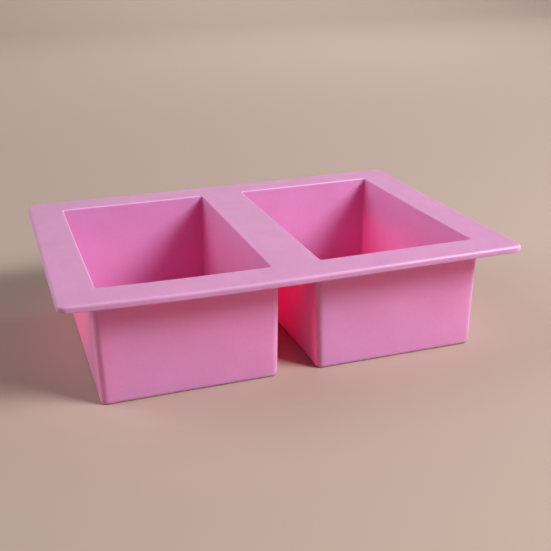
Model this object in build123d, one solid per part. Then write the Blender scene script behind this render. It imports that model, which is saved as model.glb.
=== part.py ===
from build123d import *
import os
from math import radians, tan

# A two-cavity silicone loaf mould, in one moulding: a flat flange with a rounded outer edge, two
# open rectangular cups hanging from it, and a bridge of the same flange between them.
# Millimetres and degrees. +X runs along the flange, +Z is up, and the origin is the middle of the
# surface that the cups stand on.

# Overall size
length = 230.0  # flange, along X
width = 170.0  # flange, along Y
height = 58.0  # base of the cups to the top of the flange

# Plan of the flange
rim_width = 19.0  # flange outside the cavities, the same on all four sides
bridge_width = 25.0  # strip between the two cavities
flange_corner = 5.0  # plan radius of the flange's four corners
cavity_corner = 1.2  # plan radius of a cavity's corners
cup_corner = 3.5  # plan radius of a cup's corners outside

# Thicknesses
flange_thickness = 3.6
wall_thickness = 3.2
floor_thickness = 3.0

# Moulding draft and edge radii
draft = 1.0  # each wall leans in towards the base, so that a block of soap comes out
flange_top_radius = 1.6
flange_lower_radius = 0.8
lip_radius = 0.8  # where the top of the flange turns down into a cavity
root_radius = 1.5  # where a cup's outside meets the underside of the flange
base_radius = 1.8  # outside, round the base of a cup
floor_radius = 1.0  # inside, round the floor of a cavity

# Worked out from the above
cavity_x = (length - 2 * rim_width - bridge_width) / 2
cavity_y = width - 2 * rim_width
cavity_centre = (bridge_width + cavity_x) / 2
flange_underside = height - flange_thickness
sides = {"left": -1, "right": 1}

# Where the one moulding is divided into its named regions
ledge = 0.5  # flat left beside a rounded edge, so that no region ends in a knife edge
rim_cut = flange_underside - root_radius
bridge_cut_x = bridge_width / 2 + 2 * wall_thickness
bridge_cut_y = cavity_y / 2 - cavity_corner - ledge
floor_lean = (height - floor_thickness) * tan(radians(draft))
floor_cut_x = cavity_x / 2 - floor_lean - floor_radius - ledge
floor_cut_y = cavity_y / 2 - floor_lean - floor_radius - ledge
margin = 10.0  # how far the dividing blocks reach past the moulding


def hanging_block(size_x, size_y, corner, depth):
    """A block with its top at the flange's top, whose four sides lean in by the draft."""
    block = extrude(Pos(0, 0, height) * Rectangle(size_x, size_y), amount=-depth, taper=draft)
    upright = [e for e in block.edges() if abs((e @ 1 - e @ 0).Z) > depth / 2]
    return fillet(upright, corner)


def slab():
    """The flange before its cavities are cut."""
    plan = Pos(0, 0, flange_underside) * RectangleRounded(length, width, flange_corner)
    plate = extrude(plan, amount=flange_thickness)
    plate = fillet(plate.faces().sort_by(Axis.Z)[-1].edges(), flange_top_radius)
    return fillet(plate.faces().sort_by(Axis.Z)[0].edges(), flange_lower_radius)


def cup_outside():
    """One cup's outer block, with its base edge rounded."""
    size_x, size_y = cavity_x + 2 * wall_thickness, cavity_y + 2 * wall_thickness
    block = hanging_block(size_x, size_y, cup_corner, height)
    return fillet(block.faces().sort_by(Axis.Z)[0].edges(), base_radius)


def cavity():
    """The space inside one cup, with the edge of its floor rounded."""
    block = hanging_block(cavity_x, cavity_y, cavity_corner, height - floor_thickness)
    return fillet(block.faces().sort_by(Axis.Z)[0].edges(), floor_radius)


def at_height(edges, z):
    """The edges that lie flat at one height."""
    return edges.filter_by_position(Axis.Z, z - 0.01, z + 0.01)


def moulding():
    """The whole mould as the one solid that it really is."""
    places = [Pos(side * cavity_centre, 0, 0) for side in sides.values()]
    body = slab()
    for place in places:
        body += place * cup_outside()
    roots = [e for e in at_height(body.edges(), flange_underside) if inside_flange(e)]
    body = fillet(roots, root_radius)
    for place in places:
        body -= place * cavity()
    lips = [e for e in at_height(body.edges(), height) if inside_flange(e)]
    return fillet(lips, lip_radius)


def inside_flange(edge):
    """Whether an edge belongs to a cup or cavity, and not to the flange's own outline."""
    middle = edge.center()
    reach = rim_width - 2 * wall_thickness
    return abs(middle.X) < length / 2 - reach and abs(middle.Y) < width / 2 - reach


def block_between(low, high):
    """A box between two opposite corners."""
    size = [b - a for a, b in zip(low, high)]
    middle = [(a + b) / 2 for a, b in zip(low, high)]
    return Pos(*middle) * Box(*size)


def regions():
    """The moulding divided into the named regions that meet face to face."""
    whole = moulding()
    far_x = length / 2 + margin
    far_y = width / 2 + margin
    top = height + margin
    upper = block_between((-far_x, -far_y, rim_cut), (far_x, far_y, top))
    strip = block_between((-bridge_cut_x, -bridge_cut_y, rim_cut), (bridge_cut_x, bridge_cut_y, top))
    named = {"rim_flange": (whole & upper) - strip, "centre_bridge": whole & strip}
    for name, side in sides.items():
        near, far = sorted((0, side * far_x))
        hanging = block_between((near, -far_y, -margin), (far, far_y, rim_cut))
        plate = block_between(
            (side * cavity_centre - floor_cut_x, -floor_cut_y, -margin),
            (side * cavity_centre + floor_cut_x, floor_cut_y, floor_thickness + floor_radius),
        )
        named[f"{name}_cup_wall"] = (whole & hanging) - plate
        named[f"{name}_cup_floor"] = whole & plate
    return named


os.makedirs("parts", exist_ok=True)
for node, solid in regions().items():
    export_step(solid, f"parts/{node}.step")
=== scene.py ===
from math import cos, pi, radians, sin, tan

import bmesh
import bpy
from mathutils import Matrix, Vector


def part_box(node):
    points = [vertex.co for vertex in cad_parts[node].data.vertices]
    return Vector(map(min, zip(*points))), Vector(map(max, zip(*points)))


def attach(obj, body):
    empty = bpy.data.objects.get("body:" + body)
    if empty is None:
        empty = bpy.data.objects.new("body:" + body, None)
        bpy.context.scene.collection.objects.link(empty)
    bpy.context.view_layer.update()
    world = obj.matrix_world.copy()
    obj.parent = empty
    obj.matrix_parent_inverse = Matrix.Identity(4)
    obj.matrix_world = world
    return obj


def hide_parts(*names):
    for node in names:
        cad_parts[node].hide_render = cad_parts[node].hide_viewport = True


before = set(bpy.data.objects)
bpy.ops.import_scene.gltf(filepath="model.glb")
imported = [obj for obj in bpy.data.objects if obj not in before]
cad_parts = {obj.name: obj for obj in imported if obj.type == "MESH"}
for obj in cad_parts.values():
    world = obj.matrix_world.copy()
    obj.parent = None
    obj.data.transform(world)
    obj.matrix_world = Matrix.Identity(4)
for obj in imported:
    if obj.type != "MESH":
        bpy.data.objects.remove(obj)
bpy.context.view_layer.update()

# Metres, in the frame of the CAD model: +X along the flange, +Z up, origin on the floor under the middle.
MM = 0.001

# Overall size, from the highest corner of the flange's own box
flange_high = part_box("rim_flange")[1]
half_length = flange_high.x
half_width = flange_high.y
top = flange_high.z

# Sizes that the boxes don't give, as the moulding was designed
rim_width = 19.0 * MM
bridge_width = 25.0 * MM
flange_thickness = 3.6 * MM
wall_thickness = 3.2 * MM
floor_thickness = 3.0 * MM
draft = tan(radians(1.0))
flange_corner = 5.0 * MM
cavity_corner = 1.2 * MM
cup_corner = 3.5 * MM
flange_top_radius = 1.6 * MM
flange_lower_radius = 0.8 * MM
lip_radius = 0.8 * MM
root_radius = 1.5 * MM
base_radius = 1.8 * MM
floor_radius = 1.0 * MM
underside = top - flange_thickness

# The cavity of the right-hand half, at its lip
cavity_left = bridge_width / 2
cavity_right = half_length - rim_width
cavity_half_y = half_width - rim_width

# How far the soft flange has settled out of flat, fading out down the cups
front_left_lift = 1.5 * MM
front_right_lift = 0.9 * MM
back_right_lift = 1.0 * MM
front_sag = 0.65 * MM
settled_depth = 14.0 * MM

# How finely the mesh is divided
ARC = 8  # segments round each corner in plan, an even number
BEND = 6  # segments round each edge radius
SIDE_X = 22  # segments along a cavity's short side
SIDE_Y = 36  # segments along its long side
SHEET = 5  # rings across the flange
WALL = 14  # rings down a wall
GRID_X = SIDE_X + ARC
GRID_Y = SIDE_Y + ARC
SUPPORT = 0.25 * MM  # a narrow ring that keeps the flat beside an edge radius looking flat
SEAM_SPREAD = 4.0 * MM  # how far corner points spread out where the two halves join
SEAM_RING = 1.5 * MM  # width of the last ring beside the middle seam
FILL_MARGIN = 3.0 * MM  # a rounder ring inside a floor's edge, where its grid of quads starts
SAME_POINT = 0.001 * MM  # points nearer than this along the middle seam are one point

# Where the mesh says that it is a wall, an edge or a lip; edges and lips carry painted highlights and painted
# glow
EDGE_FALL = 8  # how sharply a surface counts as edge when it turns away from flat
BELOW_LIP_GLOW = 0.35  # how much of the lip's painted glow a wall has just below it
lip_glow_fade = 12.0 * MM  # how far down the wall that painted glow fades out

# Nearly all of Blender's noise lies between these
NOISE_LOW = 0.3
NOISE_HIGH = 0.7

# The silicone's pigment. A wall's is less red, because red light also passes through the wall.
flange_colour = (0.68, 0.308, 0.553)
wall_colour = (0.88, 0.455, 0.825)
# Painted highlight: a paler colour on rounded outer edges, in full on the flange's edge and at half strength
# on the cups' outer corners
edge_highlight_colour = (0.75, 0.42, 0.66)
# Painted highlight and glow: a lighter, pinker colour on the cavities' lips and fading down the tops of their
# walls, standing in for the lips' highlight and the light scattered out through them
lip_glow_colour = (1.0, 0.52, 0.86)
cloud_shades = (0.965, 1.035)  # darkest and lightest of broad cloudy patches
speck_shades = (0.98, 1.02)  # darkest and lightest of fine specks
cloud_size = 26.0 * MM
speck_size = 1.6 * MM

# How light goes into the silicone and through it
passing_colour = (1.0, 0.009, 0.085, 1.0)
passing_share = 0.315  # of a wall's light
scatter_colours = (1.1, 0.9, 0.9)  # how far red, green and blue scatter, times the distances below
flange_scatter = 1.0 * MM
lip_scatter = 4.0 * MM
refraction = 1.41

# The silicone's surface: satin gloss that varies, over waves, streaks down the walls and a fine grain
roughness = (0.29, 0.38)
gloss_size = 9.0 * MM
wave_size, wave_height = 30.0 * MM, 0.25 * MM
streak_size, streak_height = 3.5 * MM, 0.03 * MM
streak_stretch = (1.0, 1.0, 14.0)
grain_size, grain_height = 0.7 * MM, 0.012 * MM

# The camera looks at a point just inside the left edge of the right cavity, from the front and a little left.
view_azimuth = radians(-18.81)
view_elevation = radians(21.02)
view_roll = radians(-0.75)
view_distance = 493.3 * MM
view_target = Vector((13.5, 5.2, 24.1)) * MM
view_lens = 56.3  # mm
view_sensor = 36.0  # mm wide
view_nearest = 10.0 * MM

# The studio, in metres
floor_half_span = 3.0
floor_front = -1.5
floor_back = 1.8
backdrop_bend = 1.0
backdrop_height = 2.0
BACKDROP_STEPS = 16
floor_colour = (0.495, 0.372, 0.313, 1.0)
floor_roughness = 0.6
backdrop_lamp_place = (0.9, 1.1, 1.6)
backdrop_lamp_aim = (0.1, 1.0, -0.85)
surroundings_colour = (0.50, 0.42, 0.38, 1.0)


def quarter(count):
    """Angles from 0 to a right angle in even steps."""
    return [pi / 2 * k / count for k in range(count + 1)]


def joined(corners):
    """Four rows of corner points made one closed loop, with the straight sides divided evenly."""
    points = []
    for k, corner in enumerate(corners):
        points += corner
        (ax, ay), (bx, by) = corner[-1], corners[(k + 1) % 4][0]
        count = (SIDE_X, SIDE_Y)[k % 2]
        points += [(ax + (bx - ax) * i / count, ay + (by - ay) * i / count) for i in range(1, count)]
    return points


def cavity_loop(grow, radius):
    """The cavity's lip grown by a distance, counter-clockwise from above, starting at its front left."""
    x0, x1 = cavity_left - grow + radius, cavity_right + grow - radius
    y1 = cavity_half_y + grow - radius
    corners = []
    for turn, (x, y) in enumerate([(x0, -y1), (x1, -y1), (x1, y1), (x0, y1)]):
        start = pi + turn * pi / 2
        corners.append([(x + radius * cos(start + a), y + radius * sin(start + a)) for a in quarter(ARC)])
    return joined(corners)


def inner_grow(z):
    """How far a cavity's wall stands out from its lip at a height, which is inwards below the lip."""
    return -draft * (top - z)


def lip_loop(grow):
    """The lip's outline a distance out from the top of a cavity's wall."""
    return cavity_loop(grow, cavity_corner + grow)


def root_loop(grow):
    """The outline a distance out from the top of a cup's wall, where it meets the flange's underside."""
    return cavity_loop(wall_thickness + inner_grow(underside - root_radius) + grow, cup_corner + grow)


def flange_loop(inset, seam=0.0):
    """The outline of the half flange moved in on its three free sides; its fourth side is the middle seam."""
    x1, y1 = half_length - inset, half_width - inset
    radius = flange_corner - inset
    spread = [SEAM_SPREAD * (2 * k / ARC - 1) for k in range(ARC + 1)]
    front_seam = [(seam + max(s, 0.0), -y1 + max(-s, 0.0)) for s in spread]
    front = [(x1 - radius + radius * sin(a), -y1 + radius - radius * cos(a)) for a in quarter(ARC)]
    back = [(x, -y) for x, y in reversed(front)]
    back_seam = [(x, -y) for x, y in reversed(front_seam)]
    return joined([front_seam, front, back, back_seam])


def blended(a, b, t):
    """The loop part of the way from one loop to another."""
    return [(ax + (bx - ax) * t, ay + (by - ay) * t) for (ax, ay), (bx, by) in zip(a, b)]


class HalfMoulding:
    """Rings of points joined into one half of the moulding, right of the middle seam."""

    def __init__(self):
        self.points = []
        self.faces = []

    def ring(self, loop, z):
        """Adds a loop's points at a height, and gives their numbers."""
        first = len(self.points)
        self.points += [(x, y, z) for x, y in loop]
        return list(range(first, len(self.points)))

    def join(self, rings, closed=True):
        """Quads between each ring and the next."""
        for a, b in zip(rings, rings[1:]):
            for i in range(len(a) if closed else len(a) - 1):
                j = (i + 1) % len(a)
                self.faces.append((a[i], a[j], b[j], b[i]))

    def fill(self, ring, z):
        """A grid of quads inside a ring, whose corners are the middles of the ring's four arcs."""
        turned = ring[ARC // 2 :] + ring[: ARC // 2]
        turned.append(turned[0])
        front = turned[: GRID_X + 1]
        right = turned[GRID_X : GRID_X + GRID_Y + 1]
        back = turned[GRID_X + GRID_Y : 2 * GRID_X + GRID_Y + 1][::-1]
        left = turned[2 * GRID_X + GRID_Y :][::-1]
        rows = [front]
        for j in range(1, GRID_Y):
            row = [left[j]]
            for i in range(1, GRID_X):
                row.append(len(self.points))
                self.points.append(self.coons(front, right, back, left, i, j, z))
            rows.append(row + [right[j]])
        rows.append(back)
        self.join(rows, closed=False)

    def coons(self, front, right, back, left, i, j, z):
        """A point inside four edges, evenly between all of them."""
        u, v = i / GRID_X, j / GRID_Y
        place = [Vector(self.points[k]) for k in (front[i], back[i], left[j], right[j])]
        corner = [Vector(self.points[k]) for k in (front[0], front[-1], back[0], back[-1])]
        point = (1 - v) * place[0] + v * place[1] + (1 - u) * place[2] + u * place[3]
        point -= (1 - v) * ((1 - u) * corner[0] + u * corner[1]) + v * ((1 - u) * corner[2] + u * corner[3])
        return (point.x, point.y, z)


def sheet_rings(half, inner_loop, outer_inset, z):
    """Flat rings of one face of the flange, from a cup or cavity out to the flange's rounded edge."""
    outer = flange_loop(outer_inset + SUPPORT, seam=SEAM_RING)
    rings = [half.ring(inner_loop, z)]
    rings += [half.ring(blended(inner_loop, outer, k / SHEET), z) for k in range(1, SHEET + 1)]
    rings.append(half.ring(flange_loop(outer_inset), z))
    half.join(rings)
    return rings


def free_part(ring):
    """The part of an outline ring that isn't on the middle seam."""
    last = len(ring) - (SIDE_Y - 1) - ARC // 2
    return ring[ARC // 2 : last]


def edge_band(half, upper, lower):
    """The flange's rounded outer edge, from its top face to its underside."""
    rings = [free_part(upper)]
    for a in quarter(BEND)[1:]:
        loop = free_part(flange_loop(flange_top_radius * (1 - sin(a))))
        rings.append(half.ring(loop, top - flange_top_radius * (1 - cos(a))))
    for a in quarter(BEND)[:-1]:
        loop = free_part(flange_loop(flange_lower_radius * (1 - cos(a))))
        rings.append(half.ring(loop, underside + flange_lower_radius * (1 - sin(a))))
    rings.append(free_part(lower))
    half.join(rings, closed=False)


def wall_heights(high, low):
    """Heights of a wall's rings, with a narrow one next to the radius at each end."""
    steps = [low + SUPPORT + (high - low - 2 * SUPPORT) * k / WALL for k in range(WALL + 1)]
    return [high, *reversed(steps), low]


def cavity_rings(half, lip_ring):
    """The lip, the walls and the floor of the cavity."""
    rings = [lip_ring]
    for a in quarter(BEND)[1:-1]:
        rings.append(half.ring(lip_loop(lip_radius * (1 - sin(a))), top - lip_radius * (1 - cos(a))))
    foot = floor_thickness + floor_radius
    for z in wall_heights(top - lip_radius, foot):
        rings.append(half.ring(cavity_loop(inner_grow(z), cavity_corner), z))
    for a in quarter(BEND)[1:]:
        inset = floor_radius * (1 - cos(a))
        loop = cavity_loop(inner_grow(foot) - inset, cavity_corner - inset)
        rings.append(half.ring(loop, foot - floor_radius * sin(a)))
    grow = inner_grow(foot) - floor_radius - FILL_MARGIN
    rings.append(half.ring(cavity_loop(grow, FILL_MARGIN), floor_thickness))
    half.join(rings)
    half.fill(rings[-1], floor_thickness)


def cup_rings(half, root_ring):
    """The outside of the cup: the root under the flange, the walls and the base."""
    rings = [root_ring]
    neck = underside - root_radius
    for a in quarter(BEND)[1:-1]:
        loop = root_loop(root_radius * (1 - sin(a)))
        rings.append(half.ring(loop, underside - root_radius * (1 - cos(a))))
    for z in wall_heights(neck, base_radius):
        rings.append(half.ring(cavity_loop(wall_thickness + inner_grow(z), cup_corner), z))
    for a in quarter(BEND)[1:]:
        inset = base_radius * (1 - cos(a))
        loop = cavity_loop(wall_thickness + inner_grow(base_radius) - inset, cup_corner - inset)
        rings.append(half.ring(loop, base_radius * (1 - sin(a))))
    grow = wall_thickness + inner_grow(base_radius) - base_radius - FILL_MARGIN
    rings.append(half.ring(cavity_loop(grow, 2 * FILL_MARGIN), 0.0))
    half.join(rings)
    half.fill(rings[-1], 0.0)


def settled(x, y, z):
    """A point moved with the flange, whose corners have lifted and whose front edge sags in the middle."""
    right, back = (1 + x / half_length) / 2, (1 + y / half_width) / 2
    left, front = 1 - right, 1 - back
    middle = 27 / 4 * left**2 * right  # 1 a third of the way along, and 0 at both ends
    lift = front_left_lift * left**3 * front**2 + front_right_lift * right**2 * front**2
    lift += back_right_lift * right**3 * back**2
    lift -= front_sag * middle**2 * front**2
    depth = min(max((underside - z) / settled_depth, 0.0), 1.0)
    return (x, y, z + lift * (1 - depth * depth * (3 - 2 * depth)))


def surface_kind(place, normal):
    """From 0 to 1: how freely light passes, how far this is an outer edge that gets a painted highlight, and
    how far a cavity's lip that gets a painted highlight and glow.
    """
    edge_highlight = 1 - sum(abs(part) ** EDGE_FALL for part in normal)
    beside = abs(abs(place.x) - (cavity_left + cavity_right) / 2) - (cavity_right - cavity_left) / 2
    out = max(beside, abs(place.y) - cavity_half_y)
    if out > wall_thickness + SUPPORT:
        return 0.0, edge_highlight, 0.0
    depth = top - place.z
    # A painted glow, lighter and pinker, fades down a cavity's wall below its lip
    below_lip_glow = BELOW_LIP_GLOW * max(1 - depth / lip_glow_fade, 0.0)
    # The lip gets a painted highlight and glow where it turns, and passes light in part
    if depth < lip_radius + SUPPORT / 2:
        share = min(depth / lip_radius, 1.0)
        return share, 0.0, max(edge_highlight, below_lip_glow * share)
    # The floors and bases pass no light, because they stand on something
    upright = 1 - normal.z**2
    if out < wall_thickness / 2:
        return upright, 0.0, below_lip_glow
    # A cup's outer corners get half of the painted edge highlight
    return upright * (1 - edge_highlight / 2), edge_highlight / 2, 0.0


def moulding():
    """The whole mould as one closed mesh of quads."""
    half = HalfMoulding()
    upper = sheet_rings(half, lip_loop(lip_radius + SUPPORT), flange_top_radius, top)
    lower = sheet_rings(half, root_loop(root_radius + SUPPORT), flange_lower_radius, underside)
    edge_band(half, upper[-1], lower[-1])
    lip = half.ring(lip_loop(lip_radius), top)
    root = half.ring(root_loop(root_radius), underside)
    half.join([upper[0], lip])
    half.join([lower[0], root])
    cavity_rings(half, lip)
    cup_rings(half, root)

    count = len(half.points)
    points = half.points + [(-x, y, z) for x, y, z in half.points]
    faces = half.faces + [tuple(count + k for k in reversed(face)) for face in half.faces]
    mesh = bpy.data.meshes.new("silicone_moulding")
    mesh.from_pydata(points, [], faces)
    built = bmesh.new()
    built.from_mesh(mesh)
    bmesh.ops.remove_doubles(built, verts=built.verts, dist=SAME_POINT)
    bmesh.ops.recalc_face_normals(built, faces=built.faces)
    for face in built.faces:
        face.smooth = True
    built.to_mesh(mesh)
    built.free()
    kinds = [surface_kind(vertex.co, vertex.normal) for vertex in mesh.vertices]
    # The edge and lip numbers carry the painted highlights and glow
    for name, values in zip(("passing", "edge_highlight", "lip"), zip(*kinds)):
        mesh.attributes.new(name, "FLOAT", "POINT").data.foreach_set("value", values)
    for vertex in mesh.vertices:
        vertex.co = settled(*vertex.co)
    piece = bpy.data.objects.new("silicone_moulding", mesh)
    bpy.context.scene.collection.objects.link(piece)
    return piece


def node_graph(owner):
    """The emptied node tree of a material or world, and a helper that adds a node to it."""
    owner.use_nodes = True
    tree = owner.node_tree
    tree.nodes.clear()

    def add(kind, **values):
        node = tree.nodes.new(kind)
        for name, value in values.items():
            if hasattr(node, name):
                setattr(node, name, value)
            else:
                node.inputs[name.replace("_", " ")].default_value = value
        return node

    return tree, add


def silicone_material():
    """Satin silicone: cloudy pink with painted highlights on its rounded edges and lips, and part of the red
    light also passes straight through a wall.
    """
    material = bpy.data.materials.new("pink_silicone")
    tree, add = node_graph(material)
    link = tree.links.new
    place = add("ShaderNodeTexCoord")

    def noise(size, detail=2.0, stretch=(1.0, 1.0, 1.0)):
        """Smooth noise whose features are about a size across, drawn out along an axis by its stretch."""
        drawn_out = add("ShaderNodeMapping", Scale=tuple(1 / k for k in stretch))
        pattern = add("ShaderNodeTexNoise", Scale=1 / size, Detail=detail)
        link(place.outputs["Object"], drawn_out.inputs["Vector"])
        link(drawn_out.outputs["Vector"], pattern.inputs["Vector"])
        return pattern.outputs["Fac"]

    def ranged(value, low, high):
        """Noise brought to a range."""
        scaled = add("ShaderNodeMapRange", From_Min=NOISE_LOW, From_Max=NOISE_HIGH, To_Min=low, To_Max=high)
        link(value, scaled.inputs["Value"])
        return scaled.outputs["Result"]

    def attribute(name):
        """A number that the mesh carries at each point."""
        return add("ShaderNodeAttribute", attribute_name=name).outputs["Fac"]

    def calculated(operation, value, other):
        """A value combined with a second value or with a plain number."""
        result = add("ShaderNodeMath", operation=operation)
        link(value, result.inputs[0])
        if isinstance(other, float):
            result.inputs[1].default_value = other
        else:
            link(other, result.inputs[1])
        return result.outputs["Value"]

    def tinted(under, colour, name):
        """A colour that turns to another as the mesh's number with this name goes from 0 to 1."""
        mix = add("ShaderNodeMix", data_type="VECTOR")
        if isinstance(under, tuple):
            mix.inputs["A"].default_value = under
        else:
            link(under, mix.inputs["A"])
        mix.inputs["B"].default_value = colour
        link(attribute(name), mix.inputs["Factor"])
        return mix.outputs["Result"]

    def bump(pattern, height, under=None):
        """The surface's normal with a pattern of a height on it, over an earlier one."""
        raised = add("ShaderNodeBump", Strength=1.0, Distance=height)
        link(pattern, raised.inputs["Height"])
        if under:
            link(under, raised.inputs["Normal"])
        return raised.outputs["Normal"]

    # Slightly uneven pigment: broad cloudy patches, and fine specks
    clouds = ranged(noise(cloud_size), *cloud_shades)
    specks = ranged(noise(speck_size, detail=4.0), *speck_shades)
    colour = tinted(flange_colour, wall_colour, "passing")
    # Painted highlights: a paler colour on rounded outer edges, and a pinker painted highlight and glow on
    # the lips and down the tops of the cavity walls
    colour = tinted(colour, edge_highlight_colour, "edge_highlight")
    colour = tinted(colour, lip_glow_colour, "lip")
    pigment = add("ShaderNodeVectorMath", operation="SCALE")
    link(colour, pigment.inputs[0])
    link(calculated("MULTIPLY", clouds, specks), pigment.inputs["Scale"])

    # A surface that is never quite flat
    normal = bump(noise(wave_size), wave_height)
    normal = bump(noise(streak_size, stretch=streak_stretch), streak_height, normal)
    normal = bump(noise(grain_size, detail=3.0), grain_height, normal)

    # Cloudy silicone, which scatters light further at the lips
    cloudy = add("ShaderNodeBsdfPrincipled", IOR=refraction)
    cloudy.subsurface_method = "RANDOM_WALK"
    cloudy.inputs["Subsurface Weight"].default_value = 1.0
    cloudy.inputs["Subsurface Radius"].default_value = scatter_colours
    cloudy.inputs["Specular IOR Level"].default_value = 0.5
    scatter = add("ShaderNodeMapRange", From_Max=1.0, To_Min=flange_scatter, To_Max=lip_scatter)
    link(calculated("POWER", attribute("lip"), 2.0), scatter.inputs["Value"])
    link(scatter.outputs["Result"], cloudy.inputs["Subsurface Scale"])
    link(pigment.outputs["Vector"], cloudy.inputs["Base Color"])
    link(ranged(noise(gloss_size, detail=3.0), *roughness), cloudy.inputs["Roughness"])
    link(normal, cloudy.inputs["Normal"])

    # Red light that passes straight through a wall: scattered as it goes in, and let out by the far face
    through = add("ShaderNodeBsdfTranslucent", Color=passing_colour)
    outside = add("ShaderNodeMixShader")
    link(calculated("MULTIPLY", attribute("passing"), passing_share), outside.inputs["Fac"])
    link(cloudy.outputs["BSDF"], outside.inputs[1])
    link(through.outputs["BSDF"], outside.inputs[2])
    inside = add("ShaderNodeBsdfTransparent")
    side = add("ShaderNodeNewGeometry")
    wall = add("ShaderNodeMixShader")
    link(calculated("MULTIPLY", side.outputs["Backfacing"], attribute("passing")), wall.inputs["Fac"])
    link(outside.outputs["Shader"], wall.inputs[1])
    link(inside.outputs["BSDF"], wall.inputs[2])
    output = add("ShaderNodeOutputMaterial")
    link(wall.outputs["Shader"], output.inputs["Surface"])
    return material


def studio_material():
    """Plain matt paint for the floor and backdrop."""
    material = bpy.data.materials.new("studio_floor")
    tree, add = node_graph(material)
    shader = add("ShaderNodeBsdfPrincipled", Base_Color=floor_colour, Roughness=floor_roughness)
    output = add("ShaderNodeOutputMaterial")
    tree.links.new(shader.outputs["BSDF"], output.inputs["Surface"])
    return material


def studio():
    """A plain pale floor that curves up into a plain backdrop."""
    profile = [(floor_front, 0.0), (floor_back, 0.0)]
    for a in quarter(BACKDROP_STEPS)[1:]:
        profile.append((floor_back + backdrop_bend * sin(a), backdrop_bend * (1 - cos(a))))
    profile.append((floor_back + backdrop_bend, backdrop_height))
    points = [(x, y, z) for y, z in profile for x in (-floor_half_span, floor_half_span)]
    faces = [(2 * k, 2 * k + 1, 2 * k + 3, 2 * k + 2) for k in range(len(profile) - 1)]
    mesh = bpy.data.meshes.new("studio_floor")
    mesh.from_pydata(points, [], faces)
    for polygon in mesh.polygons:
        polygon.use_smooth = True
    floor = bpy.data.objects.new("studio_floor", mesh)
    bpy.context.scene.collection.objects.link(floor)
    floor.data.materials.append(studio_material())


def facing(azimuth, elevation):
    """The axes of something that looks at the object: right, up, and back towards where it stands."""
    right = Vector((cos(azimuth), sin(azimuth), 0.0))
    back = Vector((sin(azimuth) * cos(elevation), -cos(azimuth) * cos(elevation), sin(elevation)))
    return right, back.cross(right), back


def placed(thing, azimuth, elevation, distance, target, roll=0.0):
    """Puts a camera or light at a direction and distance from a point, looking at the point."""
    right, up, back = facing(azimuth, elevation)
    axes = Matrix((right, up, back)).transposed() @ Matrix.Rotation(roll, 3, "Z")
    thing.matrix_world = Matrix.Translation(target + back * distance) @ axes.to_4x4()
    bpy.context.scene.collection.objects.link(thing)


def camera():
    """The main view of the object."""
    lens = bpy.data.cameras.new("camera")
    lens.sensor_width = view_sensor
    lens.lens = view_lens
    lens.clip_start = view_nearest
    thing = bpy.data.objects.new("camera", lens)
    placed(thing, view_azimuth, view_elevation, view_distance, view_target, view_roll)
    bpy.context.scene.camera = thing


def square_light(name, size, watts):
    """A square soft light, not yet in its place."""
    lamp = bpy.data.lights.new(name, "AREA")
    lamp.shape = "SQUARE"
    lamp.size = size
    lamp.energy = watts
    return bpy.data.objects.new(name, lamp)


def softbox(name, azimuth, elevation, distance, size, watts):
    """A square soft light that faces the object."""
    lamp = square_light(name, size, watts)
    placed(lamp, radians(azimuth), radians(elevation), distance, Vector((0, 0, top)))


def lights():
    """A key light, fills from both sides, and a light on the backdrop that faces away from the object."""
    softbox("key", azimuth=50.0, elevation=36.0, distance=1.3, size=0.52, watts=21.8)
    softbox("left_fill_low", azimuth=-115.0, elevation=15.0, distance=2.0, size=1.3, watts=13.2)
    softbox("left_fill_high", azimuth=-115.0, elevation=38.0, distance=2.0, size=1.3, watts=12.2)
    softbox("right_fill", azimuth=100.0, elevation=14.0, distance=1.2, size=0.8, watts=2.2)
    wash = square_light("backdrop_light", size=1.2, watts=35.0)
    wash.data.color = (0.96, 1.0, 1.04)
    aim = Vector(backdrop_lamp_aim).to_track_quat("-Z", "Y").to_matrix().to_4x4()
    wash.matrix_world = Matrix.Translation(backdrop_lamp_place) @ aim
    bpy.context.scene.collection.objects.link(wash)


def surroundings():
    """Pale surroundings for the camera, which give no light."""
    world = bpy.data.worlds.new("studio_world")
    tree, add = node_graph(world)
    seen = add("ShaderNodeLightPath")
    around = add("ShaderNodeBackground", Color=surroundings_colour)
    output = add("ShaderNodeOutputWorld")
    tree.links.new(seen.outputs["Is Camera Ray"], around.inputs["Strength"])
    tree.links.new(around.outputs["Background"], output.inputs["Surface"])
    bpy.context.scene.world = world
    bpy.context.scene.view_settings.view_transform = "Standard"


camera()
studio()
lights()
surroundings()
mould = moulding()
mould.data.materials.append(silicone_material())
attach(mould, "root")
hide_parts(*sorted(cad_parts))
